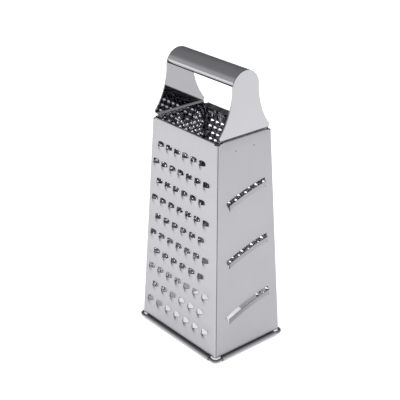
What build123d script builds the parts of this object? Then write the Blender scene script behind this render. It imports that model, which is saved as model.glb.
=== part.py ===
from build123d import *
from math import asin, atan2, cos, degrees, radians, sin, sqrt
import os

# Box grater, all of stainless sheet. Origin on the resting plane, under the middle of the body.
# X runs along the grip, Y across it, Z up. The coarse wall faces -Y, the slicing wall faces +X,
# the fine wall faces +Y and the rasping wall faces -X.

# Driving sizes in millimetres, taken over the outer faces of the sheet
body_height = 186.4
top_width, top_depth = 79.0, 55.6
base_width, base_depth = 97.0, 71.9
sheet = 0.5
seam_clearance = 0.05
cut_overrun = 1.0

# The broad walls turn round the corners and carry flanges that lie behind the narrow walls
bend_radius = 1.5
flange_width = 4.5
bend_leg = 1.0
seam_weld_count = 6
seam_weld_margin = 14.0
seam_weld_diameter = 3.0

# Bottom rim: the sheet curls outwards round one closed wire, and stops short of each corner
wire_diameter = 2.5
wire_clearance = 0.15
wire_corner_radius = 3.5
curl_turn = 275
rim_notch = 6.0
rest_flat_depth = 0.1
corner_lift = 3.7

# Top edge: the sheet folds inwards and down
hem_depth = 4.0
hem_gap = 0.2
hem_corner_gap = 3.5
corner_relief = 1.5
plate_corner_gap = 2.9

# Coarse scoops, rows of seven and six in turn, which fan out with the wall
coarse_rows, coarse_columns = 10, 7
coarse_first_height = 20.6
coarse_row_pitch = 16.03
coarse_pitch_share = 0.251
coarse_shift = -2.4
coarse_width, coarse_rise, coarse_ramp, coarse_mouth = 6.6, 3.0, 9.0, 3.2

# Fine scoops
fine_first_height = 19.0
fine_row_pitch = 5.85
fine_column_pitch = 6.2
fine_stagger = 2
fine_width, fine_rise, fine_ramp, fine_mouth = 4.4, 1.2, 3.9, 1.9
small_crown_share = 0.55
fine_side_margin = 6.0
fine_top_margin = 16.0

# Rasping punches: the sheet is burst outwards round a small hole
punch_first_height = 18.0
punch_row_pitch = 4.0
punch_column_pitch = 3.95
punch_stagger = 3
punch_side_margin = 4.5
punch_top_margin = 8.4
punch_rise = 0.9
punch_base_radius, punch_tip_radius, punch_hole_radius = 1.5, 0.9, 0.55
lug_margin = 0.8

# Slicing louvres: three blades that rise to a lip under a slot, each an arc set aslant
slot_heights = (44.8, 93.8, 142.8)
slot_radius = 200.0
slot_slant = 14.5
slot_span_share = 0.69
slot_gap = 2.6
slot_side_gap = 0.7
blade_ramp = 9.0
blade_rise = 2.0

# End plates: flush with the narrow walls, set in by a step, with two welded lugs behind the wall
overall_height = 238.8
plate_thickness = 1.0
plate_top_radius = 13.2
plate_top_drop = 0.2
plate_base_half_width = 26.0
plate_base_height = 190.0
step_top_gap = 3.4
step_bottom_gap = 0.6
tab_clearance = 0.2
tab_half_width = 24.0
tab_depth = 3.4
lug_depth = 13.4
lug_width = 10.0
weld_depth = 9.1
weld_spacing = 18.8
weld_diameter = 4.0
dimple_diameter = 2.0
dimple_depth = 0.2
plate_corner_radius = 1.6
plate_bend_radius = 1.2

# Grip: a closed tube, round above and flat below, butted between the end plates
grip_radius = 13.2
grip_flat_rise = 0.3
grip_corner_radius = 3.0
grip_sheet = 0.9

# Worked out from the sizes above
width_lean = (base_width - top_width) / 2 / body_height
depth_lean = (base_depth - top_depth) / 2 / body_height
wire_radius = wire_diameter / 2
curl_inner_radius = wire_radius + wire_clearance
curl_outer_radius = curl_inner_radius + sheet
rim_height = curl_outer_radius - rest_flat_depth
hem_radius = sheet + hem_gap / 2
hem_thickness = 2 * sheet + hem_gap
fold_height = body_height - hem_radius
seam_step = (sheet + seam_clearance) * sqrt(1 + width_lean**2)
up = Vector(0, 0, 1)


def half_width(height):
    """Half the outer size along X at a height."""
    return base_width / 2 - width_lean * height


def half_depth(height):
    """Half the outer size along Y at a height."""
    return base_depth / 2 - depth_lean * height


def broad_side(height):
    """Where the flat of a broad wall ends, inside the short legs of its bends."""
    return half_width(height) - seam_step - bend_radius - bend_leg / 2


def narrow_side(height):
    """Where a narrow wall ends, level with the start of the bends beside it."""
    return half_depth(height) - bend_radius


def slope_length(height, lean):
    """Distance up a leaning wall to a height."""
    return height * sqrt(1 + lean**2)


def face_plane(outward, reach, lean):
    """The outer face of a wall: x to the right seen from outside, y up the wall, z outwards."""
    outward = Vector(*outward)
    return Plane(origin=outward * reach, x_dir=up.cross(outward), z_dir=outward + up * lean)


def section_plane(outward, reach, height, lean):
    """A cross section of a wall: x square to the wall and outwards, y up the wall."""
    outward = Vector(*outward)
    return Plane(
        origin=outward * reach + up * height,
        x_dir=outward + up * lean,
        z_dir=outward.cross(up),
    )


def curl_section(outward, half_size, lean):
    """Profile of the bottom curl: a short straight leg that turns outwards round the wire."""
    reach = half_size(rim_height) + curl_inner_radius * sqrt(1 + lean**2)
    with BuildSketch(section_plane(outward, reach, rim_height, lean)) as profile:
        with BuildLine():
            outer = CenterArc((0, 0), curl_outer_radius, 180, curl_turn)
            inner = CenterArc((0, 0), curl_inner_radius, 180, curl_turn)
            Line(outer @ 1, inner @ 1)
            Polyline(
                outer @ 0,
                (-curl_outer_radius, cut_overrun),
                (-curl_inner_radius, cut_overrun),
                inner @ 0,
            )
        make_face()
    return profile.sketch


def hem_section(outward, half_size, lean):
    """Profile of the top hem: the sheet folds inwards through half a turn and hangs down inside."""
    reach = half_size(fold_height)
    with BuildSketch(section_plane(outward, reach, fold_height, lean)) as profile:
        with BuildLine():
            outer = CenterArc((-hem_radius, 0), hem_radius, 0, 180)
            inner = CenterArc((-hem_radius, 0), hem_gap / 2, 0, 180)
            Polyline(outer @ 0, (0, -cut_overrun), (-sheet, -cut_overrun), inner @ 0)
            Polyline(
                outer @ 1,
                (-hem_thickness, -hem_depth),
                (sheet - hem_thickness, -hem_depth),
                inner @ 1,
            )
        make_face()
    return profile.sketch


def rest_plane_cut():
    """Everything below the resting plane, so that the curls stand on a narrow flat."""
    with BuildPart() as below:
        with BuildSketch():
            Rectangle(base_width + body_height, base_depth + body_height)
        extrude(amount=-body_height)
    return below.part


def wall_outline(side_reach, curl_reach, top_reach, lean):
    """Outline of a wall in its own face: the sides, notched at all four corners."""
    sides = [(side_reach(h), slope_length(h, lean)) for h in (corner_lift, body_height - corner_relief)]
    foot, top = slope_length(rim_height, lean), slope_length(fold_height, lean)
    right = [(curl_reach, foot), (curl_reach, sides[0][1]), *sides, (top_reach, sides[1][1]),
             (top_reach, top)]
    with BuildSketch() as outline:
        with BuildLine():
            Polyline(*right, *[(-x, y) for x, y in reversed(right)], close=True)
        make_face()
    return outline.sketch


def corner_fold(side_x, side_y):
    """The bend and the flange at one side of a broad wall, run straight up the corner."""
    face_sheet = sheet * sqrt(1 + depth_lean**2)
    flange_sheet = sheet * sqrt(1 + width_lean**2)
    x_out, y_out = half_width(corner_lift) - seam_step, half_depth(corner_lift)
    x_bend, y_bend = x_out - bend_radius, y_out - bend_radius
    x_in, y_in = x_out - flange_sheet, y_out - face_sheet
    run = Vector(-width_lean * side_x, -depth_lean * side_y, 1)
    rise = body_height - corner_relief - corner_lift
    with BuildPart() as fold:
        with BuildSketch(Plane.XY.offset(corner_lift)):
            with BuildLine():
                outer = [(x_bend - bend_leg, y_out), (x_bend, y_out), (x_out, y_bend),
                         (x_out, y_bend - flange_width)]
                inner = [(x_in, y_bend - flange_width), (x_in, y_bend), (x_bend, y_in),
                         (x_bend - bend_leg, y_in)]
                outer, inner = [[(side_x * x, side_y * y) for x, y in line] for line in (outer, inner)]
                turn = -side_x * side_y
                Line(outer[0], outer[1])
                RadiusArc(outer[1], outer[2], turn * -bend_radius)
                Polyline(outer[2], outer[3], inner[0], inner[1])
                RadiusArc(inner[1], inner[2], turn * (bend_radius - sheet))
                Polyline(inner[2], inner[3], outer[0])
            make_face()
        extrude(amount=rise * run.length, dir=run)
    return fold.part


def broad_wall(outward):
    """A broad wall before it is punched: the face, its two bends and flanges, the hem and curl."""
    side_y = outward[1]
    curl_reach = half_width(rim_height) - rim_notch
    hem_reach = half_width(fold_height) - hem_corner_gap
    with BuildPart() as wall:
        face = face_plane(outward, half_depth(0), depth_lean)
        extrude(face * wall_outline(broad_side, curl_reach, hem_reach, depth_lean), amount=-sheet)
        for side_x in (-1, 1):
            add(corner_fold(side_x, side_y))
        add_rim_and_hem(outward, half_depth, depth_lean, curl_reach, hem_reach)
    return wall.part


def add_rim_and_hem(outward, half_size, lean, curl_reach, hem_reach):
    """Fuse the curl and the hem to the wall being built, then cut the flat that it stands on."""
    extrude(curl_section(outward, half_size, lean), amount=curl_reach, both=True)
    extrude(hem_section(outward, half_size, lean), amount=hem_reach, both=True)
    add(rest_plane_cut(), mode=Mode.SUBTRACT)


def narrow_wall(outward):
    """A narrow wall before it is punched: a flat sheet with a curl, a hem and two weld dimples."""
    face = face_plane(outward, half_width(0), width_lean)
    curl_reach = half_depth(rim_height) - rim_notch
    hem_reach = half_depth(fold_height) - bend_radius - flange_width - tab_clearance
    top_reach = half_depth(body_height) - plate_corner_gap
    with BuildPart() as wall:
        extrude(face * wall_outline(narrow_side, curl_reach, top_reach, width_lean), amount=-sheet)
        add_rim_and_hem(outward, half_width, width_lean, curl_reach, hem_reach)
        with BuildSketch(face):
            with Locations(*weld_points()):
                Circle(dimple_diameter / 2)
        extrude(amount=-dimple_depth, mode=Mode.SUBTRACT)
    return wall.part


def slot_hole(face, slot):
    """What is cut out under one slicing blade: a stretch of a ring, from the root to the slot."""
    with BuildSketch(face) as hole:
        with BuildLine():
            upper = CenterArc(slot["centre"], slot_radius + slot_gap, slot["start"], slot["span"])
            lower = CenterArc(slot["centre"], slot_radius - blade_ramp, slot["start"], slot["span"])
            Line(upper @ 0, lower @ 0)
            Line(upper @ 1, lower @ 1)
        make_face()
    return hole.sketch


def weld_points():
    """The two weld spots, in the face of a narrow wall."""
    height = slope_length(body_height - weld_depth, width_lean)
    return [(side * weld_spacing / 2, height) for side in (-1, 1)]


def scoop_tools(width, rise, ramp, mouth):
    """One scoop at the origin of a wall's face: the raised shell, and what is cut out of it.
    The shell is a cylinder laid along the wall, tilted so that its top meets the wall below."""
    radius = ((width / 2) ** 2 + rise**2) / (2 * rise)
    tilt = atan2(rise, ramp)
    axis_depth = radius / cos(tilt) - rise
    axis_plane = Plane(origin=(0, 0, -axis_depth), x_dir=(1, 0, 0), z_dir=(0, cos(tilt), sin(tilt)))
    inner_radius = radius - sheet
    hole_half = sqrt(inner_radius**2 - (axis_depth - sheet) ** 2)
    with BuildPart() as raised:
        with BuildSketch(axis_plane):
            Circle(radius)
        extrude(amount=2 * ramp, both=True)
        with BuildSketch(Plane.XY.offset(-sheet / 2)):
            with Locations((0, -ramp)):
                Rectangle(3 * radius, 2 * ramp)
        extrude(amount=2 * rise + sheet, mode=Mode.INTERSECT)
    with BuildPart() as hollow:
        with BuildSketch(axis_plane):
            Circle(inner_radius)
        extrude(amount=2 * ramp, both=True)
        with BuildSketch(Plane.XY.offset(-2 * sheet)):
            with Locations((0, -ramp + sheet / 4)):
                Rectangle(3 * radius, 2 * ramp)
        extrude(amount=2 * rise + 2 * sheet, mode=Mode.INTERSECT)
        with BuildSketch(Plane.XY.offset(-2 * sheet)):
            with BuildLine():
                ThreePointArc((-hole_half, 0), (0, mouth), (hole_half, 0))
                Line((hole_half, 0), (-hole_half, 0))
            make_face()
        extrude(amount=3 * sheet)
    return raised.part, hollow.part


def small_scoop_tools(width, rise, ramp, mouth):
    """A small scoop with flat sides, at the origin of a wall's face: the raised shell, a half
    pyramid that points down the wall, and what is cut out of it."""
    crown = small_crown_share * width / 2
    flank = (width / 2 - crown) / rise
    inner_half = width / 2 - sheet * sqrt(1 + flank**2)
    foot, inner_foot = width / 2 + flank * sheet / 2, inner_half + flank * 2 * sheet
    inner_crown, inner_mouth = inner_half - flank * (rise - sheet), inner_half + flank * sheet
    with BuildPart() as raised:
        ConvexPolyhedron([
            (-foot, 0, -sheet / 2), (foot, 0, -sheet / 2), (-crown, 0, rise), (crown, 0, rise),
            (0, -ramp, -sheet / 2),
        ])
    with BuildPart() as hollow:
        ConvexPolyhedron([
            (-inner_foot, 0, -2 * sheet), (inner_foot, 0, -2 * sheet),
            (-inner_crown, 0, rise - sheet), (inner_crown, 0, rise - sheet), (0, -ramp, -sheet),
        ])
        with BuildSketch(Plane.XY.offset(-2 * sheet)):
            with BuildLine():
                Polyline(
                    (-inner_mouth, 0), (-inner_crown, mouth), (inner_crown, mouth),
                    (inner_mouth, 0), close=True,
                )
            make_face()
        extrude(amount=3 * sheet)
    return raised.part, hollow.part


def places_on(face, points):
    """Places on a wall's face, for points given across it and up it."""
    return [face.location * Location((x, y, 0)) for x, y in points]


def coarse_points():
    """Lip centres of the coarse scoops: full rows and rows of one less, spread with the wall."""
    points = []
    for row in range(coarse_rows):
        height = coarse_first_height + row * coarse_row_pitch
        count = coarse_columns - row % 2
        pitch = coarse_pitch_share * half_width(height)
        for column in range(count):
            across = coarse_shift + (column - (count - 1) / 2) * pitch
            points.append((across, slope_length(height, depth_lean)))
    return points


def staggered_points(first, row_pitch, column_pitch, stagger, top, half_size, lean, margin, keep_clear=()):
    """Punch centres in rows that fill a wall, less those in the given boxes. Each row is moved
    on by a share of the column pitch, and every stagger rows they stand in line again."""
    points = []
    rows = int((top - first) / row_pitch) + 1
    for row in range(rows):
        height = top - row * row_pitch
        shift = column_pitch / stagger * (row % stagger)
        reach = half_size(height) - margin
        for column in range(-int((reach + shift) / column_pitch), int((reach - shift) / column_pitch) + 1):
            x, y = column * column_pitch + shift, slope_length(height, lean)
            if not any(x0 < x < x1 and y > y0 for x0, x1, y0 in keep_clear):
                points.append((x, y))
    return points


def slots():
    """Centre, first angle and span of each slot's arc, in the face of the slicing wall."""
    found = []
    for height in slot_heights:
        middle = 90 + slot_slant
        half_span = degrees(asin(slot_span_share * half_depth(height) / slot_radius))
        radius = slot_radius + slot_gap
        centre = (
            -radius * cos(radians(middle)),
            slope_length(height, width_lean) - radius * sin(radians(middle)),
        )
        found.append({"centre": centre, "start": middle - half_span, "span": 2 * half_span})
    return found


def slicing_blade(face, slot):
    """One blade: the sheet rises from the wall to a lip, turned about the centre of its slot."""
    trim = degrees(slot_side_gap / slot_radius)
    angle = radians(slot["start"] + trim)
    centre = face.from_local_coords(Vector(*slot["centre"], 0))
    radial = face.x_dir * cos(angle) + face.y_dir * sin(angle)
    root = slot_radius - blade_ramp
    with BuildPart() as blade:
        with BuildSketch(Plane(origin=centre, x_dir=radial, z_dir=radial.cross(face.z_dir))):
            with BuildLine():
                Polyline(
                    (root - cut_overrun, -sheet),
                    (root - cut_overrun, 0),
                    (root, 0),
                    (slot_radius, blade_rise),
                    (slot_radius, blade_rise - sheet),
                    (root, -sheet),
                    close=True,
                )
            make_face()
        revolve(axis=Axis(centre, face.z_dir), revolution_arc=slot["span"] - 2 * trim)
    return blade.part


def plate_outline():
    """Outline of an end plate, seen along X: a half round top, two flaring sides, a stepped-in
    tab and the two lugs that are welded behind the wall."""
    centre = overall_height - plate_top_drop - plate_top_radius
    drop = centre - plate_base_height
    spread = plate_base_half_width - plate_top_radius
    flare = (spread**2 + drop**2) / (2 * spread)
    flare_sweep = degrees(asin(drop / flare))
    tab_foot = body_height - tab_depth
    lug_foot = body_height - lug_depth
    lug_in, lug_out = [weld_spacing / 2 + side * lug_width / 2 for side in (-1, 1)]
    with BuildSketch(Plane.YZ) as outline:
        with BuildLine():
            CenterArc((0, centre), plate_top_radius, 0, 180)
            right = CenterArc((plate_top_radius + flare, centre), flare, 180, flare_sweep)
            left = CenterArc((-plate_top_radius - flare, centre), flare, 0, -flare_sweep)
            Polyline(
                right @ 1,
                (tab_half_width, body_height + step_bottom_gap),
                (tab_half_width, tab_foot),
                (lug_out, tab_foot),
                (lug_out, lug_foot),
                (lug_in, lug_foot),
                (lug_in, tab_foot),
                (-lug_in, tab_foot),
                (-lug_in, lug_foot),
                (-lug_out, lug_foot),
                (-lug_out, tab_foot),
                (-tab_half_width, tab_foot),
                (-tab_half_width, body_height + step_bottom_gap),
                left @ 1,
            )
        make_face()
        low, high = plate_base_height - sheet, plate_base_height + sheet
        fillet(vertices().filter_by_position(Axis.Y, low, high), radius=plate_corner_radius)
    return outline.sketch


def end_plate(side):
    """One end plate: a strip bent in a step, trimmed to the outline."""
    outer = top_width / 2
    tab_inset = (hem_thickness + tab_clearance) * sqrt(1 + width_lean**2)
    step_top = body_height + step_top_gap
    step_foot = body_height + step_bottom_gap
    lug_foot = body_height - lug_depth - cut_overrun
    with BuildPart() as plate:
        with BuildSketch(Plane.XZ):
            with BuildLine():
                FilletPolyline(
                    (side * outer, overall_height + cut_overrun),
                    (side * outer, step_top),
                    (side * (half_width(step_foot) - tab_inset), step_foot),
                    (side * (half_width(lug_foot) - tab_inset), lug_foot),
                    radius=plate_bend_radius,
                )
                offset(amount=plate_thickness, side=Side.RIGHT if side > 0 else Side.LEFT)
            make_face()
        extrude(amount=base_depth, both=True)
        extrude(plate_outline(), amount=base_width, both=True, mode=Mode.INTERSECT)
    return plate.part


def weld_spots(outward):
    """The weld metal between a narrow wall and the two lugs behind it."""
    face = face_plane(outward, half_width(0), width_lean)
    gap = hem_thickness + tab_clearance - sheet
    with BuildPart() as spots:
        with BuildSketch(face.offset(-sheet)):
            with Locations(*weld_points()):
                Circle(weld_diameter / 2)
        extrude(amount=-gap)
    return spots.part


def seam_welds(outward):
    """The weld spots that hold the two flanges of the broad walls behind a narrow wall."""
    face = face_plane(outward, half_width(0), width_lean)
    span = body_height - 2 * seam_weld_margin
    points = []
    for number in range(seam_weld_count):
        height = seam_weld_margin + span * number / (seam_weld_count - 1)
        reach = half_depth(height) - bend_radius - flange_width / 2
        points += [(-reach, slope_length(height, width_lean)), (reach, slope_length(height, width_lean))]
    with BuildPart() as spots:
        with BuildSketch(face.offset(-sheet)):
            with Locations(*points):
                Circle(seam_weld_diameter / 2)
        extrude(amount=-seam_clearance)
    return spots.part


def save(part, name):
    """Label one finished piece and write its file."""
    part.label = name
    export_step(part, f"parts/{name}.step")


os.makedirs("parts", exist_ok=True)

# Coarse wall
with BuildPart() as coarse_wall:
    add(broad_wall((0, -1, 0)))
    coarse_raised, coarse_hollow = scoop_tools(coarse_width, coarse_rise, coarse_ramp, coarse_mouth)
    coarse_places = places_on(face_plane((0, -1, 0), half_depth(0), depth_lean), coarse_points())
    with Locations(*coarse_places):
        add(coarse_raised)
    with Locations(*coarse_places):
        add(coarse_hollow, mode=Mode.SUBTRACT)
save(coarse_wall.part, "coarse_wall")

# Fine wall
with BuildPart() as fine_wall:
    add(broad_wall((0, 1, 0)))
    fine_raised, fine_hollow = small_scoop_tools(fine_width, fine_rise, fine_ramp, fine_mouth)
    fine_points = staggered_points(
        fine_first_height, fine_row_pitch, fine_column_pitch, fine_stagger,
        body_height - fine_top_margin, half_width, depth_lean, fine_side_margin,
    )
    fine_places = places_on(face_plane((0, 1, 0), half_depth(0), depth_lean), fine_points)
    with Locations(*fine_places):
        add(fine_raised)
    with Locations(*fine_places):
        add(fine_hollow, mode=Mode.SUBTRACT)
save(fine_wall.part, "fine_wall")

# Slicing wall
with BuildPart() as slicer_wall:
    add(narrow_wall((1, 0, 0)))
    slicer_face = face_plane((1, 0, 0), half_width(0), width_lean)
    for slot in slots():
        extrude(slot_hole(slicer_face, slot), amount=-2 * sheet, mode=Mode.SUBTRACT)
        add(slicing_blade(slicer_face, slot))
save(slicer_wall.part, "slicer_wall")

# Rasping wall
with BuildPart() as rasp_wall:
    add(narrow_wall((-1, 0, 0)))
    lug_foot_up_wall = slope_length(body_height - lug_depth, width_lean) - lug_margin
    lug_boxes = [
        (side * weld_spacing / 2 - lug_width / 2 - lug_margin,
         side * weld_spacing / 2 + lug_width / 2 + lug_margin, lug_foot_up_wall)
        for side in (-1, 1)
    ]
    punch_points = staggered_points(
        punch_first_height, punch_row_pitch, punch_column_pitch, punch_stagger,
        body_height - punch_top_margin, half_depth, width_lean, punch_side_margin, lug_boxes,
    )
    punch_places = places_on(face_plane((-1, 0, 0), half_width(0), width_lean), punch_points)
    collar = (Align.CENTER, Align.CENTER, Align.MIN)
    with Locations(*[place * Location((0, 0, -sheet / 2)) for place in punch_places]):
        Cone(punch_base_radius, punch_tip_radius, punch_rise + sheet / 2, align=collar)
    with Locations(*[place * Location((0, 0, -2 * sheet)) for place in punch_places]):
        Cone(
            punch_base_radius - sheet / 2, punch_hole_radius - sheet / 4,
            punch_rise + 2.5 * sheet, align=collar, mode=Mode.SUBTRACT,
        )
save(rasp_wall.part, "rasp_wall")

# Base wire
with BuildPart() as base_wire:
    wire_x = half_width(rim_height) + curl_inner_radius * sqrt(1 + width_lean**2)
    wire_y = half_depth(rim_height) + curl_inner_radius * sqrt(1 + depth_lean**2)
    with BuildLine(Plane.XY.offset(rim_height)) as wire_path:
        FilletPolyline(
            (wire_x, -wire_y), (wire_x, wire_y), (-wire_x, wire_y), (-wire_x, -wire_y),
            radius=wire_corner_radius, close=True,
        )
    with BuildSketch(Plane(origin=wire_path.line @ 0, z_dir=wire_path.line % 0)):
        Circle(wire_radius)
    sweep(path=wire_path.line)
save(base_wire.part, "base_wire")

# End plates and their welds
save(end_plate(1), "slicer_side_end_plate")
save(end_plate(-1), "rasp_side_end_plate")
save(weld_spots((1, 0, 0)), "slicer_side_weld_spots")
save(weld_spots((-1, 0, 0)), "rasp_side_weld_spots")

# Welds of the four corner seams
save(seam_welds((1, 0, 0)), "slicer_side_seam_welds")
save(seam_welds((-1, 0, 0)), "rasp_side_seam_welds")

# Grip tube
with BuildPart() as grip_tube:
    grip_centre = overall_height - grip_radius
    grip_start = degrees(asin(grip_flat_rise / grip_radius))
    with BuildSketch(Plane.YZ):
        with BuildLine():
            grip_top = CenterArc((0, grip_centre), grip_radius, grip_start, 180 - 2 * grip_start)
            Line(grip_top @ 1, grip_top @ 0)
        make_face()
        fillet(vertices().group_by(Axis.Y)[0], radius=grip_corner_radius)
        offset(amount=-grip_sheet, mode=Mode.SUBTRACT)
    extrude(amount=top_width / 2 - plate_thickness, both=True)
save(grip_tube.part, "grip_tube")
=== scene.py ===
from math import asin, cos, pi, radians, sin, sqrt

import bmesh
import bpy
import numpy as np
from mathutils import Matrix, Vector
from mathutils.geometry import delaunay_2d_cdt


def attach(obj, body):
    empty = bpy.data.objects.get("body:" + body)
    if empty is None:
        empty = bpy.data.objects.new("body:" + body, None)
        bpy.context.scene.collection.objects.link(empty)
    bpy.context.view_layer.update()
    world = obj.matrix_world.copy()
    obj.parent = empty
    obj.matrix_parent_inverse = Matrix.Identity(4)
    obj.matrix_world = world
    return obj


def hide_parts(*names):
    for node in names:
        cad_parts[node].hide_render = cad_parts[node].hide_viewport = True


# A box grater of stainless sheet. Sizes are millimetres over the outer faces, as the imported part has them.
# X runs along the grip, the coarse wall faces -Y, the slicing wall +X, and the floor is z = 0.
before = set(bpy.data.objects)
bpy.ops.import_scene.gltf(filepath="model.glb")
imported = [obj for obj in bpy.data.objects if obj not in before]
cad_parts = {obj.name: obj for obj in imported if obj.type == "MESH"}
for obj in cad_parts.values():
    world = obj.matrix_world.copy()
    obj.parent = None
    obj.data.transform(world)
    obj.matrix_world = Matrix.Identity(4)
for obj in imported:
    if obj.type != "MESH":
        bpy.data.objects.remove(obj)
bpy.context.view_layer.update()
mm = 0.001
up = np.array([0.0, 0.0, 1.0])

body = {
    "height": 186.4, "topWidth": 79.0, "topDepth": 55.6, "baseWidth": 97.0, "baseDepth": 71.9,
    "sheet": 0.5, "seamClearance": 0.05, "bendRadius": 0.8, "flangeWidth": 4.5, "seamGroove": 0.4,
    "cornerLift": 3.7, "cornerRelief": 1.5, "columnStep": 2.6, "rowStep": 4.0, "bendSteps": 6,
}
rim = {
    "wireDiameter": 2.5, "wireClearance": 0.15, "wireCornerRadius": 3.5, "curlTurn": 286.0,
    "notch": 6.0, "restFlat": 0.1, "curlSteps": 22, "wireSteps": 20, "cornerSteps": 8, "runSteps": 12,
}
hem = {"depth": 4.0, "gap": 0.2, "cornerGap": 3.5, "plateCornerGap": 2.9, "tabClearance": 0.2, "steps": 8}

widthLean = (body["baseWidth"] - body["topWidth"]) / 2 / body["height"]
depthLean = (body["baseDepth"] - body["topDepth"]) / 2 / body["height"]
wireRadius = rim["wireDiameter"] / 2
curlInner = wireRadius + rim["wireClearance"]
rimHeight = curlInner + body["sheet"] - rim["restFlat"]
hemRadius = body["sheet"] + hem["gap"] / 2
hemThickness = 2 * hemRadius
foldHeight = body["height"] - hemRadius
seamStep = (body["sheet"] + body["seamClearance"]) * sqrt(1 + widthLean**2)


def halfWidth(height):  # half the outer size along X, which shrinks evenly up the body
    return body["baseWidth"] / 2 - widthLean * height


def halfDepth(height):  # half the outer size along Y
    return body["baseDepth"] / 2 - depthLean * height


def wallFrame(outward, halfSize, lean):
    # the axes of a leaning wall: right as seen from outside, up its slope, and square out of it
    out = np.array([*outward, 0.0])
    slant = sqrt(1 + lean**2)
    return {
        "out": out, "right": np.cross(up, out), "slope": (up - lean * out) / slant,
        "normal": (out + lean * up) / slant, "half": halfSize, "slant": slant,
        "foot": rimHeight * slant - curlInner * lean, "fold": foldHeight * slant,
    }


def onWall(wall, across, along, rise=0.0):
    # point = foot of the wall + across * right + along * slope + rise * normal
    across, along, rise = np.broadcast_arrays(across, along, rise)
    return (wall["out"] * wall["half"](0) + across[..., None] * wall["right"]
            + along[..., None] * wall["slope"] + rise[..., None] * wall["normal"])


def grid(points, flip=False, closed=False):
    # a sheet of quads over rows and columns of points; closed joins the last column to the first
    rows, columns = points.shape[:2]
    number = np.arange(rows * columns).reshape(rows, columns)
    if closed:
        number = np.concatenate([number, number[:, :1]], axis=1)
    quads = np.stack([number[:-1, :-1], number[:-1, 1:], number[1:, 1:], number[1:, :-1]], axis=-1)
    quads = quads.reshape(-1, 4)
    return points.reshape(-1, 3), (quads[:, ::-1] if flip else quads).tolist()


def cutBlank(outline, holes, loose):
    # a flat blank: the Delaunay triangles between a closed outline, closed holes and loose points
    loops = [outline, *holes]
    starts = np.cumsum([0] + [len(loop) for loop in loops])
    rings = [list(range(a, b)) for a, b in zip(starts[:-1], starts[1:])]
    points = np.concatenate([*loops, loose]) if len(loose) else np.concatenate(loops)
    made = delaunay_2d_cdt(points.tolist(), [], rings, 1, 1e-7)  # 1 keeps the triangles inside the rings
    flat, faces, origins, owners = made[0], made[2], made[3], made[5]
    source = np.array([ids[0] if ids else -1 for ids in origins])
    kept = [face for face, owner in zip(faces, owners) if list(owner) == [0]]
    return np.array([list(p) for p in flat]), source, kept


def buildMesh(name, sheets, materials, thickness=0.0, joinWithin=0.002, sharpAngle=38.0, flatten=False):
    # joins sheets of points and faces, merges what coincides, thickens inwards and marks sharp edges;
    # the first material is the face side, the second the inner side and the third the cut edges
    offsets = np.cumsum([0] + [len(points) for points, _ in sheets])
    points = np.concatenate([points for points, _ in sheets]) * mm
    faces = [[index + start for index in face] for (_, part), start in zip(sheets, offsets) for face in part]
    mesh = bpy.data.meshes.new(name)
    mesh.from_pydata(points.tolist(), [], faces)
    shape = bmesh.new()
    shape.from_mesh(mesh)
    bmesh.ops.remove_doubles(shape, verts=shape.verts, dist=joinWithin * mm)
    loose = [vertex for vertex in shape.verts if not vertex.link_faces]
    bmesh.ops.delete(shape, geom=loose, context="VERTS")
    shape.to_mesh(mesh)
    shape.free()
    piece = bpy.data.objects.new(name, mesh)
    bpy.context.scene.collection.objects.link(piece)
    for material in materials:
        mesh.materials.append(material)
    if thickness:
        wallOf = piece.modifiers.new("wall", "SOLIDIFY")
        wallOf.thickness, wallOf.offset = thickness * mm, -1
        wallOf.use_even_offset, wallOf.use_quality_normals = True, True
        wallOf.thickness_clamp = 0.0
        if len(materials) > 1:
            wallOf.material_offset = 1
        if len(materials) > 2:
            wallOf.material_offset_rim = 2
        solid = bpy.data.meshes.new_from_object(piece.evaluated_get(bpy.context.evaluated_depsgraph_get()))
        piece.modifiers.clear()
        piece.data = solid
        bpy.data.meshes.remove(mesh)
        mesh = solid
        mesh.name = name
    if flatten:  # z = max(z, 0): the face that the rim rests on
        co = np.empty(len(mesh.vertices) * 3)
        mesh.vertices.foreach_get("co", co)
        co = co.reshape(-1, 3)
        co[:, 2] = np.maximum(co[:, 2], 0.0)
        mesh.vertices.foreach_set("co", co.ravel())
    mesh.polygons.foreach_set("use_smooth", np.ones(len(mesh.polygons), bool))
    mesh.set_sharp_from_angle(angle=radians(sharpAngle))
    mesh.update()
    return piece


def place(piece, node):  # stands in for its node on the one body: attaches the piece and hides the node
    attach(piece, "root")
    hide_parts(node)
    print("made", piece.name, "for", node, "with", len(piece.data.polygons), "faces")


# Materials

def linearColour(code):  # sRGB hex to linear: ((c + 0.055) / 1.055) ** 2.4 above the toe
    channels = [int(code[i:i + 2], 16) / 255 for i in (0, 2, 4)]
    return [c / 12.92 if c <= 0.04045 else ((c + 0.055) / 1.055) ** 2.4 for c in channels] + [1.0]


def addNode(tree, kind, settings=None, links=None):
    # one node: settings are its own properties or the values of its sockets, links feed its sockets
    node = tree.nodes.new(kind)
    for key, value in (settings or {}).items():
        if isinstance(key, str) and hasattr(node, key):
            setattr(node, key, value)
        else:
            node.inputs[key].default_value = value
    for key, source in (links or {}).items():
        tree.links.new(source, node.inputs[key])
    return node


relief = {"grazingTint": "b4b4b6", "grainDepth": 0.02, "waveDepth": 0.05}  # the tint darkens a grazing view


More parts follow.
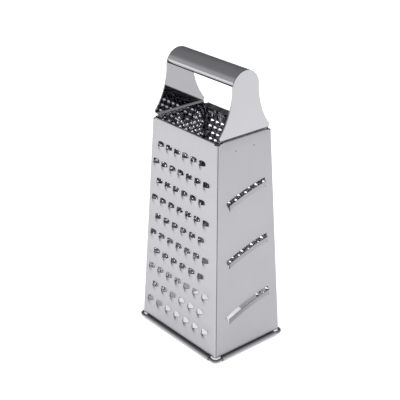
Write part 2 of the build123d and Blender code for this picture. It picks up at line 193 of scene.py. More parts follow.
def steelMaterial(name, values):
    # sheet or wire of 18/8 stainless: a metal whose rubbed grain spreads the highlight across itself
    material = bpy.data.materials.new(name)
    material.use_nodes = True
    tree = material.node_tree
    tree.nodes.clear()
    where = addNode(tree, "ShaderNodeTexCoord").outputs["Object"]
    stretch = [1 / (length * mm) for length in values["grain"]]
    lines = addNode(tree, "ShaderNodeMapping", {"Scale": stretch}, {"Vector": where})
    rubbed = addNode(tree, "ShaderNodeTexNoise", {"Scale": 1.0, "Detail": 3.0, "Roughness": 0.6},
                     {"Vector": lines.outputs["Vector"]})
    cloud = addNode(tree, "ShaderNodeTexNoise",
                    {"Scale": 1 / (values["cloud"] * mm), "Detail": 2.0, "Roughness": 0.5},
                    {"Vector": where})
    rough = addNode(tree, "ShaderNodeMapRange",
                    {"To Min": values["roughness"] - values["roughSpread"],
                     "To Max": values["roughness"] + values["roughSpread"]},
                    {"Value": rubbed.outputs["Fac"]})
    # sockets 6 and 7 of the Mix node are its two colours, 0 its factor and output 2 its colour
    tone = addNode(tree, "ShaderNodeMix",
                   {"data_type": "RGBA", 6: linearColour(values["dark"]), 7: linearColour(values["light"])},
                   {0: cloud.outputs["Fac"]})
    grain = addNode(tree, "ShaderNodeBump",
                    {"Strength": values["bump"], "Distance": relief["grainDepth"] * mm},
                    {"Height": rubbed.outputs["Fac"]})
    wave = addNode(tree, "ShaderNodeBump",
                   {"Strength": values["wave"], "Distance": relief["waveDepth"] * mm},
                   {"Height": cloud.outputs["Fac"], "Normal": grain.outputs["Normal"]})
    shader = addNode(tree, "ShaderNodeBsdfPrincipled",
                     {"Metallic": 1.0, "Specular Tint": linearColour(relief["grazingTint"])},
                     {"Base Color": tone.outputs[2], "Roughness": rough.outputs["Result"],
                      "Normal": wave.outputs["Normal"]})
    addNode(tree, "ShaderNodeOutputMaterial", links={"Surface": shader.outputs["BSDF"]})
    return material


# Satin-rubbed 18/8 sheet: soft, even grey that only hints at the room
satinSheet = steelMaterial("satinRubbedStainless", {
    "grain": (0.7, 0.7, 24.0), "cloud": 40.0, "roughness": 0.30, "roughSpread": 0.03,
    "dark": "b2b2b5", "light": "b8b8bb", "bump": 0.10, "wave": 0.15,
})
# The narrow walls, rubbed on a coarser belt, with faint upright streaks: the same steel with its colour
# painted a shade darker as painted shade on the narrow sides
shadedCoarseSatin = steelMaterial("coarselyRubbedShadedStainless", {
    "grain": (0.9, 0.9, 40.0), "cloud": 45.0, "roughness": 0.33, "roughSpread": 0.04,
    "dark": "a5a5aa", "light": "aeaeb2", "bump": 0.12, "wave": 0.15,
})
# The end plates are rubbed a little finer than the walls
satinPlate = steelMaterial("finelyRubbedStainless", {
    "grain": (0.8, 0.8, 30.0), "cloud": 30.0, "roughness": 0.26, "roughSpread": 0.02,
    "dark": "b4b4b7", "light": "bcbcbf", "bump": 0.02, "wave": 0.06,
})
# The unrubbed inner side of the same sheet, bright from the rolls: clear, dark mirror images
brightSheet = steelMaterial("brightRolledStainless", {
    "grain": (0.9, 0.9, 30.0), "cloud": 25.0, "roughness": 0.06, "roughSpread": 0.015,
    "dark": "b0b0b4", "light": "b6b6ba", "bump": 0.05, "wave": 0.25,
})
# The inner side of the end plates, rolled clearer still: it mirrors the walls inside the mouth, and its
# colour is painted darker as shade inside the mouth and under the grip
shadedMirrorPlate = steelMaterial("clearRolledShadedStainless", {
    "grain": (0.9, 0.9, 30.0), "cloud": 25.0, "roughness": 0.04, "roughSpread": 0.01,
    "dark": "9a9a9e", "light": "a2a2a6", "bump": 0.03, "wave": 0.12,
})
# Where the punch and the shears cut it: duller, slightly torn metal, its colour painted darker as the shade
# that outlines each opening and seam
shadedCutEdge = steelMaterial("shearedStainlessEdgeShaded", {
    "grain": (0.3, 0.3, 0.3), "cloud": 3.0, "roughness": 0.42, "roughSpread": 0.06,
    "dark": "96969a", "light": "a4a4a6", "bump": 0.25, "wave": 0.1,
})
# Tube rubbed round its girth on a belt: fine streaks across its length
rubbedTube = steelMaterial("beltRubbedStainless", {
    "grain": (0.5, 14.0, 14.0), "cloud": 30.0, "roughness": 0.24, "roughSpread": 0.04,
    "dark": "bebec2", "light": "c6c6ca", "bump": 0.18, "wave": 0.10,
})
# Drawn wire: smooth, with a faint pull along it; its colour is painted a shade darker than the sheet as shade
# round the foot of the body
shadedDrawnWire = steelMaterial("drawnStainlessWireShaded", {
    "grain": (4.0, 4.0, 0.5), "cloud": 12.0, "roughness": 0.22, "roughSpread": 0.04,
    "dark": "86868a", "light": "96969a", "bump": 0.08, "wave": 0.05,
})
# Weld nugget: heat-greyed, slightly rough metal
weldMetal = steelMaterial("greyedWeldNugget", {
    "grain": (0.6, 0.6, 0.6), "cloud": 2.0, "roughness": 0.5, "roughSpread": 0.08,
    "dark": "8f8c88", "light": "a5a3a0", "bump": 0.3, "wave": 0.1,
})
print("materials ready")


# Punched shapes, each with its lip or hole at the origin of a wall
pastFoot = 1.04  # of the ramp's length


def scoop(values):
    # a ramp that ends in a raised lip, where s runs down the ramp from the lip and t across it:
    # rise(t, s) = rise * (1 - |t|^square)^(flank + soften * s) * (1 - s)^fade
    # The hole above the lip has straight sides under a half ellipse, pressed in by dent * sqrt(sin(turn)).
    half, rise, ramp = values["width"] / 2, values["rise"], values["ramp"]

    def height(t, s):
        across = 1 - np.minimum(np.abs(t), 1) ** values["square"]
        return rise * across ** (values["flank"] + values["soften"] * s) * (1 - s) ** values["fade"]

    t = np.sin(np.linspace(-pi / 2, pi / 2, values["lipSteps"]))
    lip = np.stack([half * t, np.zeros(len(t))], axis=1)
    turn = np.linspace(0, pi, values["lipSteps"])
    arch = np.stack([half * np.cos(turn), values["side"] + values["arch"] * np.sin(turn)], axis=1)
    pressed = -values["dent"] * np.sin(turn) ** 0.5
    loop = np.concatenate([lip[1:-1], [[half, 0.0]], arch, [[-half, 0.0]]])
    loopRise = np.concatenate([height(t, 0.0)[1:-1], [0.0], pressed, [0.0]])
    s, t = np.meshgrid(values["rampShares"], values["spreadShares"], indexing="ij")
    narrowing = 1 - (1 - values["footShare"]) * s**2
    bulge = np.stack([half * narrowing * t, -ramp * s], axis=-1)
    # flat points round the hole and just past the ramp's foot keep the sheet beyond them flat
    beyond = 1 + values["collar"] / half
    collar = np.stack([half * beyond * np.cos(turn),
                       values["side"] + (values["arch"] + values["collar"]) * np.sin(turn)], axis=1)
    loose = np.concatenate([bulge.reshape(-1, 2), collar,
                            [[-half * beyond, 0.0], [half * beyond, 0.0], [0.0, -ramp * pastFoot]]])
    looseRise = np.zeros(len(loose))
    looseRise[:bulge.size // 2] = height(t, s).ravel()
    return loop, loopRise, loose, looseRise


def burstPunch(values):
    # a crater with petals on its torn edge: from there it falls to the sheet as rise * (1 - share)^fall
    steps = values["petals"] * 2
    turn = np.linspace(0, 2 * pi, steps, endpoint=False)
    notched = np.arange(steps) % 2 == 1
    torn = np.where(notched, values["notchShare"], 1.0)
    reach = values["hole"] * np.where(notched, values["notchReach"], values["petalReach"])
    circle = np.stack([np.cos(turn), np.sin(turn)], axis=1)
    shares = np.array(values["ringShares"])
    radii = values["hole"] + (values["base"] - values["hole"]) * shares
    loose = (circle[None] * radii[:, None, None]).reshape(-1, 2)
    looseRise = np.repeat(values["rise"] * (1 - shares) ** values["fall"], steps)
    return circle * reach[:, None], values["rise"] * torn, loose, looseRise


def stamp(places, shape):
    # the same shape at each place: hole loops, their rises, loose points and theirs
    loop, loopRise, loose, looseRise = shape
    holes = list(places[:, None, :] + loop[None])
    spread = (places[:, None, :] + loose[None]).reshape(-1, 2)
    return holes, [loopRise] * len(places), spread, np.tile(looseRise, len(places))


def staggered(values, halfSize, lean, keepClear=()):
    # rows counted down from the top, with as many as the width holds:
    # across = column * columnPitch + (row % stagger) * columnPitch / stagger, height = top - row * rowPitch
    pitch, top, found = values["columnPitch"], body["height"] - values["topMargin"], []
    for row in range(int((top - values["firstHeight"]) / values["rowPitch"]) + 1):
        height = top - row * values["rowPitch"]
        shift = pitch / values["stagger"] * (row % values["stagger"])
        reach = halfSize(height) - values["sideMargin"]
        across = np.arange(-int((reach + shift) / pitch), int((reach - shift) / pitch) + 1) * pitch + shift
        along = np.full(len(across), height * sqrt(1 + lean**2))
        found.append(np.stack([across, along], axis=1))
    found = np.concatenate(found)
    for low, high, foot in keepClear:
        found = found[~((found[:, 0] > low) & (found[:, 0] < high) & (found[:, 1] > foot))]
    return found


lug = {
    "depth": 13.4, "width": 10.0, "weldDepth": 9.1, "weldSpacing": 18.8,
    "dimple": 2.2, "dimpleDepth": 0.35, "dimpleSteps": 12, "dimpleShares": (0.35, 0.7, 1.0, 1.25),
}


def dimples(wall):
    # the two shallow dents of the lug welds: depth * (1 - (r / radius)^2), on rings of points
    along = (body["height"] - lug["weldDepth"]) * wall["slant"]
    radius = lug["dimple"] / 2
    turn = np.linspace(0, 2 * pi, lug["dimpleSteps"], endpoint=False)
    shares = np.array(lug["dimpleShares"])
    rings = np.stack([np.outer(shares, np.cos(turn)), np.outer(shares, np.sin(turn))], axis=-1) * radius
    local = np.concatenate([[[0.0, 0.0]], rings.reshape(-1, 2)])
    rises = -lug["dimpleDepth"] * np.maximum(1 - (local**2).sum(1) / radius**2, 0.0)
    places = np.array([[side * lug["weldSpacing"] / 2, along] for side in (-1, 1)])
    return (places[:, None] + local[None]).reshape(-1, 2), np.tile(rises, 2)


# The four walls

def spaced(low, high, step):  # even points from low to high, about a step apart
    return np.linspace(low, high, max(int(round((high - low) / step)), 1) + 1)


def wallOutline(wall, sideReach, curlReach, topReach, hemReach):
    # the blank's outline: along the curl, up one side, along the fold, down the other, notched at corners
    heights = spaced(body["cornerLift"], body["height"] - body["cornerRelief"], body["rowStep"])
    side = np.stack([sideReach(heights), heights * wall["slant"]], axis=1)
    curlColumns = spaced(-curlReach, curlReach, body["columnStep"])
    hemColumns = spaced(-hemReach, hemReach, body["columnStep"])
    bottom = np.stack([curlColumns, np.full(len(curlColumns), wall["foot"])], axis=1)
    half = [(curlReach, side[0, 1])] if curlReach < side[0, 0] else []
    topCorner = [(topReach, side[-1, 1]), (topReach, wall["fold"])]
    foldLine = np.stack([hemColumns[::-1], np.full(len(hemColumns), wall["fold"])], axis=1)
    right = np.array([*half, *side, *topCorner])
    if abs(topReach - hemReach) < 1e-6:  # the fold line starts at this corner already
        right = right[:-1]
    left = right[::-1] * [-1, 1]
    return np.concatenate([bottom, right, foldLine, left]), heights, curlColumns, hemColumns


def wallSheet(name, wall, finish, sideReach, curlReach, topReach, hemReach, punched, folded):
    # one wall: its punched blank, then hem and curl, and on a broad wall the bends and flanges
    outline, heights, curlColumns, hemColumns = wallOutline(wall, sideReach, curlReach, topReach, hemReach)
    holes, holeRises, loose, looseRise = punched
    flat, source, triangles = cutBlank(outline, holes, loose)
    rises = np.concatenate([np.zeros(len(outline)), *holeRises, looseRise])
    if source.min() < 0:
        print(name, "has", int((source < 0).sum()), "crossing points")
    sheets = [(onWall(wall, flat[:, 0], flat[:, 1], np.where(source < 0, 0.0, rises[source])), triangles)]
    # hem: half a turn inwards on hemRadius, then straight down inside
    turn = np.linspace(0, pi, hem["steps"] + 1)
    outBy = np.append(hemRadius * (np.cos(turn) - 1), -hemThickness)
    upBy = np.append(hemRadius * np.sin(turn), -hem["depth"])
    sheets.append(grid(onWall(wall, hemColumns[None, :], wall["fold"] + upBy[:, None], outBy[:, None])))
    # curl: round the wire from the wall's face, under it and up outside, by curlTurn degrees
    turn = np.radians(180 + np.linspace(0, rim["curlTurn"], rim["curlSteps"] + 1))
    outBy, upBy = curlInner * (1 + np.cos(turn)), curlInner * np.sin(turn)
    curl = onWall(wall, curlColumns[None, :], wall["foot"] + upBy[:, None], outBy[:, None])
    sheets.append(grid(curl, flip=True))
    if folded:
        # bend and flange: a quarter turn on bendRadius, then straight in behind the narrow wall
        turn = np.linspace(0, pi / 2, body["bendSteps"] + 1)
        flangeEnd = 1 + body["flangeWidth"] / body["bendRadius"]
        inward = np.append(1 - np.cos(turn), flangeEnd) * body["bendRadius"]
        outward = np.append(np.sin(turn), 1.0) * body["bendRadius"]
        for side in (-1, 1):
            across = sideReach(heights)[:, None] + outward[None]
            out = wall["half"](heights)[:, None] - inward[None]
            points = side * across[..., None] * wall["right"] + out[..., None] * wall["out"]
            points = points + heights[:, None, None] * up
            sheets.append(grid(points, flip=side < 0))
    # the cut edges take the sheared-edge steel, whose darker colour is painted shade round openings and seams
    return buildMesh(name, sheets, [finish, brightSheet, shadedCutEdge], thickness=body["sheet"], flatten=True)


def broadSide(height):  # where the bend of a broad wall begins
    return halfWidth(height) - seamStep - body["bendRadius"]


def narrowSide(height):  # the cut edge of a narrow wall
    return halfDepth(height) - body["bendRadius"] - body["seamGroove"]


coarseFrame = wallFrame((0, -1), halfDepth, depthLean)
fineFrame = wallFrame((0, 1), halfDepth, depthLean)
slicerFrame = wallFrame((1, 0), halfWidth, widthLean)
raspFrame = wallFrame((-1, 0), halfWidth, widthLean)
curlReachBroad = halfWidth(rimHeight) - rim["notch"]
hemReachBroad = halfWidth(foldHeight) - hem["cornerGap"]
curlReachNarrow = halfDepth(rimHeight) - rim["notch"]
hemReachNarrow = halfDepth(foldHeight) - body["bendRadius"] - body["flangeWidth"] - hem["tabClearance"]
topReachNarrow = halfDepth(body["height"]) - hem["plateCornerGap"]

# Coarse wall: rows of seven and six scoops, spaced by a share of the wall's half width
coarse = {
    "rows": 10, "columns": 7, "firstHeight": 20.6, "rowPitch": 16.03, "pitchShare": 0.251, "offCentre": -2.4,
    "width": 7.4, "rise": 2.5, "ramp": 9.0, "square": 2.0, "fade": 2.8, "footShare": 0.95,
    "side": 2.3, "arch": 1.2, "dent": 0.1, "collar": 0.5, "flank": 1.15, "soften": 1.2, "lipSteps": 13,
    "rampShares": (0.1, 0.24, 0.4, 0.56, 0.72, 0.86, 1.0),
    "spreadShares": (-1.0, -0.92, -0.78, -0.6, -0.36, -0.12, 0.12, 0.36, 0.6, 0.78, 0.92, 1.0),
}
coarsePlaces = []
for row in range(coarse["rows"]):
    height = coarse["firstHeight"] + row * coarse["rowPitch"]
    count = coarse["columns"] - row % 2
    shares = (np.arange(count) - (count - 1) / 2) * coarse["pitchShare"]
    across = shares * halfWidth(height) + coarse["offCentre"]
    coarsePlaces.append(np.stack([across, np.full(count, height * coarseFrame["slant"])], axis=1))
coarseWall = wallSheet("coarseWall", coarseFrame, satinSheet, broadSide, curlReachBroad, hemReachBroad,
                       hemReachBroad, stamp(np.concatenate(coarsePlaces), scoop(coarse)), True)
place(coarseWall, "coarse_wall")

# Fine wall: staggered small scoops
fine = {
    "firstHeight": 19.0, "rowPitch": 5.85, "columnPitch": 6.2, "stagger": 2, "sideMargin": 6.0,
    "topMargin": 16.0, "width": 4.4, "rise": 1.2, "ramp": 3.9, "square": 2.0, "fade": 1.15,
    "footShare": 0.6, "side": 0.7, "arch": 1.6, "dent": 0.3, "collar": 0.4, "flank": 1.0, "soften": 1.0,
    "lipSteps": 7, "rampShares": (0.35, 0.72, 1.0), "spreadShares": (-1.0, -0.6, 0.0, 0.6, 1.0),
}
finePlaces = staggered(fine, halfWidth, depthLean)
fineWall = wallSheet("fineWall", fineFrame, satinSheet, broadSide, curlReachBroad, hemReachBroad,
                     hemReachBroad, stamp(finePlaces, scoop(fine)), True)
place(fineWall, "fine_wall")

# Slicing wall: three blades under slots, each an arc of one large radius that slants down to the left
blades = {
    "heights": (44.8, 93.8, 142.8), "radius": 200.0, "slant": 14.5, "spanShare": 0.69, "gap": 2.6,
    "sideGap": 0.5, "ramp": 6.0, "rise": 2.0, "ease": 0.12, "hairline": 0.001, "steps": 26,
    "rampShares": (0.06, 0.14, 0.3, 0.5, 0.7, 0.86),
}


def bladeShape(height):
    # one blade in polar terms about the centre of its slot, with share = (rho - root) / ramp:
    # rise * (share - ease / 2) / (1 - ease / 2), and below ease rise * share^2 / (2 * ease) / (1 - ease / 2)
    middle = radians(90 + blades["slant"])
    halfSpan = asin(blades["spanShare"] * halfDepth(height) / blades["radius"])
    outer, root = blades["radius"] + blades["gap"], blades["radius"] - blades["ramp"]
    centre = np.array([-outer * cos(middle), height * slicerFrame["slant"] - outer * sin(middle)])
    first, last = middle - halfSpan, middle + halfSpan
    trim, ease = blades["sideGap"] / blades["radius"], blades["ease"]
    shares = np.array(blades["rampShares"])
    sideRho = root + blades["ramp"] * shares
    lipTurn = np.linspace(last - trim, first + trim, blades["steps"])
    slotTurn = np.linspace(first, last, blades["steps"])

    def rise(rho):
        share = (rho - root) / blades["ramp"]
        eased = np.maximum(share, 0) ** 2 / (2 * ease)
        return blades["rise"] * np.where(share > ease, share - ease / 2, eased) / (1 - ease / 2)

    def polar(rho, turn):
        return np.stack([rho * np.cos(turn), rho * np.sin(turn)], axis=-1) + centre

    runs = [
        (np.array([root, root]), np.array([last, last - trim]), 0),
        (sideRho, np.full(len(shares), last - trim), 1),
        (np.full(len(lipTurn), blades["radius"]), lipTurn, 1),
        (sideRho[::-1], np.full(len(shares), first + trim), 1),
        (np.array([root, root]), np.array([first + trim, first]), 0),
        (np.full(len(slotTurn), outer), slotTurn, 0),
    ]
    loop = np.concatenate([polar(rho, turn) for rho, turn, _ in runs])
    loopRise = np.concatenate([rise(rho) * raised for rho, _, raised in runs])
    rho, turn = np.meshgrid(np.append(sideRho, root + blades["hairline"]), lipTurn[1:-1])
    return loop, loopRise, polar(rho.ravel(), turn.ravel()), rise(rho.ravel())


loops, loopRises, points, rises = zip(*[bladeShape(height) for height in blades["heights"]])
dentPoints, dentRises = dimples(slicerFrame)
slicerWall = wallSheet(
    "slicerWall", slicerFrame, shadedCoarseSatin, narrowSide, curlReachNarrow, topReachNarrow, hemReachNarrow,
    (loops, loopRises, np.concatenate([dentPoints, *points]), np.concatenate([dentRises, *rises])), False)
place(slicerWall, "slicer_wall")

# Rasping wall: small bursts in three staggered sets of rows, none where a lug lies behind the sheet
rasp = {
    "firstHeight": 18.0, "rowPitch": 4.0, "columnPitch": 3.95, "stagger": 3, "sideMargin": 4.5,
    "topMargin": 8.4, "lugMargin": 0.8, "rise": 1.1, "base": 1.75, "hole": 1.1, "petals": 4,
    "petalReach": 0.9, "notchReach": 1.25, "notchShare": 0.7, "fall": 1.6, "ringShares": (0.28, 0.6, 1.0),
}
lugFoot = (body["height"] - lug["depth"]) * raspFrame["slant"] - rasp["lugMargin"]
lugReach = lug["width"] / 2 + rasp["lugMargin"]
lugBoxes = [(side * lug["weldSpacing"] / 2 - lugReach, side * lug["weldSpacing"] / 2 + lugReach, lugFoot)
            for side in (-1, 1)]
raspPlaces = staggered(rasp, halfDepth, widthLean, lugBoxes)
loops, loopRises, points, rises = stamp(raspPlaces, burstPunch(rasp))
raspWall = wallSheet(
    "raspWall", raspFrame, shadedCoarseSatin, narrowSide, curlReachNarrow, topReachNarrow, hemReachNarrow,
    (loops, loopRises, np.concatenate([points, dentPoints]), np.concatenate([rises, dentRises])), False)
place(raspWall, "rasp_wall")
print("walls ready")


# Base wire: a circle carried round a rectangle with rounded corners
def roundedLoop(halfX, halfY, radius, cornerSteps, runSteps):
    # four quarter turns of the radius about the corner centres, with even points on the runs between
    rounds = []
    for turn, (sx, sy) in zip(range(4), ((1, 1), (-1, 1), (-1, -1), (1, -1))):
        angle = np.linspace(turn * pi / 2, (turn + 1) * pi / 2, cornerSteps + 1)
        centre = np.array([sx * (halfX - radius), sy * (halfY - radius)])
        rounds.append(centre + radius * np.stack([np.cos(angle), np.sin(angle)], axis=1))
    path = []
    for this, following in zip(rounds, rounds[1:] + rounds[:1]):
        share = np.linspace(0, 1, runSteps + 1)[1:-1, None]
        path += [this, this[-1] * (1 - share) + following[0] * share]
    return np.concatenate(path)


wirePath = roundedLoop(halfWidth(rimHeight) + curlInner * slicerFrame["slant"],
                       halfDepth(rimHeight) + curlInner * coarseFrame["slant"],
                       rim["wireCornerRadius"], rim["cornerSteps"], rim["runSteps"])
# ring = path + sideways * radius * cos(turn) + up * radius * sin(turn)
ahead = np.roll(wirePath, -1, axis=0) - np.roll(wirePath, 1, axis=0)
sideways = np.stack([ahead[:, 1], -ahead[:, 0]], axis=1) / np.linalg.norm(ahead, axis=1)[:, None]
turn = np.linspace(0, 2 * pi, rim["wireSteps"], endpoint=False)
ring = np.empty((len(wirePath), len(turn), 3))
ring[..., :2] = wirePath[:, None] + sideways[:, None] * (wireRadius * np.cos(turn))[None, :, None]
ring[..., 2] = rimHeight + wireRadius * np.sin(turn)
ring = np.concatenate([ring, ring[:1]])
# the wire's darker colour is painted shade round the foot of the body
baseWire = buildMesh("baseWire", [grid(ring, flip=True, closed=True)], [shadedDrawnWire])
place(baseWire, "base_wire")


# End plates: a strip bent in a step, with a half round top, flared sides, a tab and two lugs
plate = {
    "overallHeight": 238.8, "thickness": 1.0, "topRadius": 13.2, "topDrop": 0.2, "baseHalfWidth": 26.0,
    "baseHeight": 190.0, "stepTopGap": 1.8, "stepBottomGap": 0.8, "tabHalfWidth": 24.0, "tabDepth": 3.4,
    "bendRadius": 0.7, "bendSteps": 5, "crownSteps": 24, "flankSteps": 23, "tabSteps": 3, "lugSteps": 4,
    "columnShares": (0.7, 0.8, 0.92, 1.0), "edgeRadius": 0.14, "edgeSteps": 2, "edgeAngle": 50.0,
}


def roundedRun(corners, radius, steps):
    # a polyline whose inner corners become arcs of the radius, tangent to both runs
    path = [corners[0]]
    for before, corner, after in zip(corners, corners[1:], corners[2:]):
        a = (before - corner) / np.linalg.norm(before - corner)
        b = (after - corner) / np.linalg.norm(after - corner)
        half = np.arccos(np.clip(a @ b, -1, 1)) / 2
        middle = (a + b) / np.linalg.norm(a + b)
        centre = corner + middle * radius / np.sin(half)
        start, end = corner + a * radius / np.tan(half), corner + b * radius / np.tan(half)
        share = np.linspace(0, 1, steps + 1)[:, None]
        chord = (start - centre) * (1 - share) + (end - centre) * share
        path += list(centre + chord / np.linalg.norm(chord, axis=1)[:, None] * radius)
    return np.array(path + [corners[-1]])


def plateHalfWidth(z):
    # half the width: a half circle above its centre, then a flare of one large radius, then the tab
    centre = plate["overallHeight"] - plate["topDrop"] - plate["topRadius"]
    drop, spread = centre - plate["baseHeight"], plate["baseHalfWidth"] - plate["topRadius"]
    flare = (spread**2 + drop**2) / (2 * spread)
    stepFoot = body["height"] + plate["stepBottomGap"]
    crown = np.sqrt(np.maximum(plate["topRadius"]**2 - np.maximum(z - centre, 0)**2, 0))
    flank = plate["topRadius"] + flare - np.sqrt(flare**2 - np.clip(centre - z, 0, drop)**2)
    tuck = np.clip((plate["baseHeight"] - z) / (plate["baseHeight"] - stepFoot), 0, 1)
    narrow = plate["baseHalfWidth"] + (plate["tabHalfWidth"] - plate["baseHalfWidth"]) * tuck
    return np.where(z >= centre, crown, np.where(z >= plate["baseHeight"], flank, narrow))


def endPlate(name, side, node):
    # rows of z against shares of the half width, bent by looking x up along the run, then the two lugs
    inset = (hemThickness + hem["tabClearance"]) * slicerFrame["slant"]
    stepTop, stepFoot = body["height"] + plate["stepTopGap"], body["height"] + plate["stepBottomGap"]
    lugFootHeight, tabFoot = body["height"] - lug["depth"], body["height"] - plate["tabDepth"]
    centre = plate["overallHeight"] - plate["topDrop"] - plate["topRadius"]
    run = roundedRun(np.array([
        [body["topWidth"] / 2, plate["overallHeight"]], [body["topWidth"] / 2, stepTop],
        [halfWidth(stepFoot) - inset, stepFoot], [halfWidth(lugFootHeight) - inset, lugFootHeight]]),
        plate["bendRadius"], plate["bendSteps"])
    crown = centre + plate["topRadius"] * np.sin(np.linspace(pi / 2, 0, plate["crownSteps"] + 1))
    flank = np.linspace(centre, run[1, 1], plate["flankSteps"] + 1)[1:]
    bends = run[1:-1, 1]
    tab = np.linspace(bends[-1], tabFoot, plate["tabSteps"] + 1)[1:]
    rows = np.concatenate([crown, flank, bends[1:], tab])
    lugIn, lugOut = [(lug["weldSpacing"] / 2 + s * lug["width"] / 2) / plate["tabHalfWidth"] for s in (-1, 1)]
    inner, outer = np.linspace(lugIn, lugOut, plate["lugSteps"] + 1), np.array(plate["columnShares"])
    columns = np.concatenate([-outer[::-1], -inner[::-1], [0], inner, outer])

    def bent(across, z):
        points = np.empty((*z.shape, 3))
        points[..., 0] = side * np.interp(-z, -run[:, 1], run[:, 0])
        points[..., 1], points[..., 2] = across, z
        return points

    z = np.repeat(rows[:, None], len(columns), axis=1)
    sheets = [grid(bent(plateHalfWidth(z) * columns[None], z), flip=side > 0)]
    lugRows = np.linspace(tabFoot, lugFootHeight, plate["lugSteps"] + 1)
    for strip in (inner, -inner[::-1]):
        z, across = np.broadcast_arrays(lugRows[:, None], plate["tabHalfWidth"] * strip[None])
        sheets.append(grid(bent(across, z), flip=side > 0))
    piece = buildMesh(name, sheets, [satinPlate, shadedMirrorPlate], thickness=plate["thickness"])
    edge = piece.modifiers.new("eased edge", "BEVEL")
    edge.width, edge.segments = plate["edgeRadius"] * mm, plate["edgeSteps"]
    edge.limit_method, edge.angle_limit = "ANGLE", radians(plate["edgeAngle"])
    edge.harden_normals = True
    place(piece, node)


endPlate("slicerSidePlate", 1, "slicer_side_end_plate")
endPlate("raspSidePlate", -1, "rasp_side_end_plate")

# Grip: a closed D profile carried along X between the plates
grip = {
    "radius": 13.2, "flatRise": 0.3, "cornerRadius": 4.2, "sheet": 0.9,
    "domeSteps": 48, "cornerSteps": 10, "runs": 16, "shadeBelow": -0.12,
}
gripCentre = plate["overallHeight"] - grip["radius"]
# a corner circle touches the dome from inside and rests on the flat, so its centre lies
# radius - cornerRadius from the dome's, and both circles meet on the line through the two centres
cornerUp = grip["cornerRadius"] + grip["flatRise"]
cornerReach = grip["radius"] - grip["cornerRadius"]
cornerOut = sqrt(cornerReach**2 - cornerUp**2)
meeting = asin(cornerUp / cornerReach)
turn = np.linspace(meeting, pi - meeting, grip["domeSteps"] + 1)
dome = grip["radius"] * np.stack([np.cos(turn), np.sin(turn)], axis=1)
turn = np.linspace(pi - meeting, 3 * pi / 2, grip["cornerSteps"] + 1)[1:]
corner = grip["cornerRadius"] * np.stack([np.cos(turn), np.sin(turn)], axis=1) + [-cornerOut, cornerUp]
profile = np.concatenate([dome, corner, corner[::-1] * [-1, 1]]) + [0.0, gripCentre]
gripEnd = body["topWidth"] / 2 - plate["thickness"]
alongGrip = np.linspace(-gripEnd, gripEnd, grip["runs"] + 1)
skin = np.empty((len(alongGrip), len(profile), 3))
skin[..., 0] = alongGrip[:, None]
skin[..., 1:] = profile[None]
gripTube = buildMesh("gripTube", [grid(skin, closed=True)], [rubbedTube, shadedMirrorPlate],
                     thickness=grip["sheet"])
# every face that looks down takes the clear-rolled finish: a crisp mirror whose darker colour is painted
# shade under the grip
normals = np.empty(len(gripTube.data.polygons) * 3)
gripTube.data.polygons.foreach_get("normal", normals)
finish = np.empty(len(gripTube.data.polygons), np.int32)
gripTube.data.polygons.foreach_get("material_index", finish)
finish[normals[2::3] < grip["shadeBelow"]] = 1
gripTube.data.polygons.foreach_set("material_index", finish)
place(gripTube, "grip_tube")
print("handle ready")

# Weld metal stays as the part has it, with its own finish
weldNodes = (
    "slicer_side_weld_spots", "rasp_side_weld_spots", "slicer_side_seam_welds", "rasp_side_seam_welds",
)
for nodeName in weldNodes:
    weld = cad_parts[nodeName]
    weld.data.materials.clear()
    weld.data.materials.append(weldMetal)


# Studio: pale floor, an even room that is dim towards one upper corner, soft lamps, the photograph's camera.
# The room's strength goes from roomLow to roomHigh where the direction's part along darkCorner
# passes from edgeLow to edgeHigh. That dim corner is what the top of the grip mirrors.
studio = {
    "floorSize": 12.0, "floorColour": "f4f4f4", "floorGlow": 0.58,
    "roomLow": 0.56, "roomHigh": 0.27, "darkCorner": (-0.6, 0.3, 0.75), "edgeLow": 0.65, "edgeHigh": 0.75,
    "aim": (0, 0, 0.1),
    "lamps": (
        {"name": "overhead", "at": (-0.3, 0.3, 2.2), "size": 2.6, "watts": 30.0},
        {"name": "frontLeft", "at": (-0.9, -0.9, 1.5), "size": 1.4, "watts": 4.0},
    ),
}
view = {"at": (562.4, -483.8, 472.8), "azimuth": 49.974, "elevation": 25.558, "roll": 0.037,
        "focal": 1007.5, "frame": 400, "sensor": 36.0}  # focal length in pixels of the frame's width

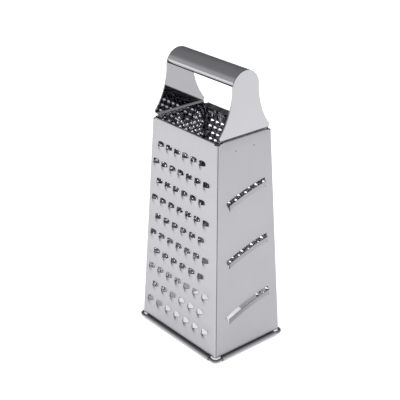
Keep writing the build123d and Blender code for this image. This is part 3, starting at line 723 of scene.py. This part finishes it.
floorMesh = bpy.data.meshes.new("floor")
reach = studio["floorSize"] / 2
floorMesh.from_pydata([(-reach, -reach, 0), (reach, -reach, 0), (reach, reach, 0), (-reach, reach, 0)], [],
                      [(0, 1, 2, 3)])
floor = bpy.data.objects.new("floor", floorMesh)
bpy.context.scene.collection.objects.link(floor)
paper = bpy.data.materials.new("paleStudioPaper")
paper.use_nodes = True
tree = paper.node_tree
tree.nodes.clear()
paperShader = addNode(tree, "ShaderNodeBsdfPrincipled", {
    "Base Color": linearColour(studio["floorColour"]), "Roughness": 0.9, "Specular IOR Level": 0.0,
    "Emission Color": (1, 1, 1, 1), "Emission Strength": studio["floorGlow"]})
addNode(tree, "ShaderNodeOutputMaterial", links={"Surface": paperShader.outputs["BSDF"]})
floorMesh.materials.append(paper)

world = bpy.data.worlds.new("room")
world.use_nodes = True
bpy.context.scene.world = world
tree = world.node_tree
tree.nodes.clear()
where = addNode(tree, "ShaderNodeTexCoord")
towards = addNode(tree, "ShaderNodeVectorMath", {"operation": "DOT_PRODUCT", 1: studio["darkCorner"]},
                  {0: where.outputs["Generated"]})
dimming = addNode(tree, "ShaderNodeMapRange", {
    "interpolation_type": "SMOOTHSTEP", "From Min": studio["edgeLow"], "From Max": studio["edgeHigh"],
    "To Min": studio["roomLow"], "To Max": studio["roomHigh"]}, {"Value": towards.outputs["Value"]})
shine = addNode(tree, "ShaderNodeBackground", {"Color": (1, 1, 1, 1)},
                {"Strength": dimming.outputs["Result"]})
addNode(tree, "ShaderNodeOutputWorld", links={"Surface": shine.outputs["Background"]})

for lamp in studio["lamps"]:
    light = bpy.data.lights.new(lamp["name"], "AREA")
    light.shape, light.size, light.energy = "SQUARE", lamp["size"], lamp["watts"]
    holder = bpy.data.objects.new(lamp["name"], light)
    holder.location = lamp["at"]
    holder.rotation_euler = (Vector(studio["aim"]) - Vector(lamp["at"])).to_track_quat("-Z", "Y").to_euler()
    holder.visible_glossy = False
    bpy.context.scene.collection.objects.link(holder)

azimuth, elevation = radians(view["azimuth"]), radians(view["elevation"])
back = Vector((sin(azimuth) * cos(elevation), -cos(azimuth) * cos(elevation), sin(elevation)))
cameraData = bpy.data.cameras.new("camera")
cameraData.sensor_width = view["sensor"]
cameraData.lens = view["sensor"] * view["focal"] / view["frame"]
camera = bpy.data.objects.new("camera", cameraData)
camera.matrix_world = (Matrix.Translation(Vector(view["at"]) * mm)
                       @ (-back).to_track_quat("-Z", "Y").to_matrix().to_4x4()
                       @ Matrix.Rotation(radians(view["roll"]), 4, "Z"))
bpy.context.scene.collection.objects.link(camera)
bpy.context.scene.camera = camera
bpy.context.scene.view_settings.view_transform = "Standard"
print("studio ready")
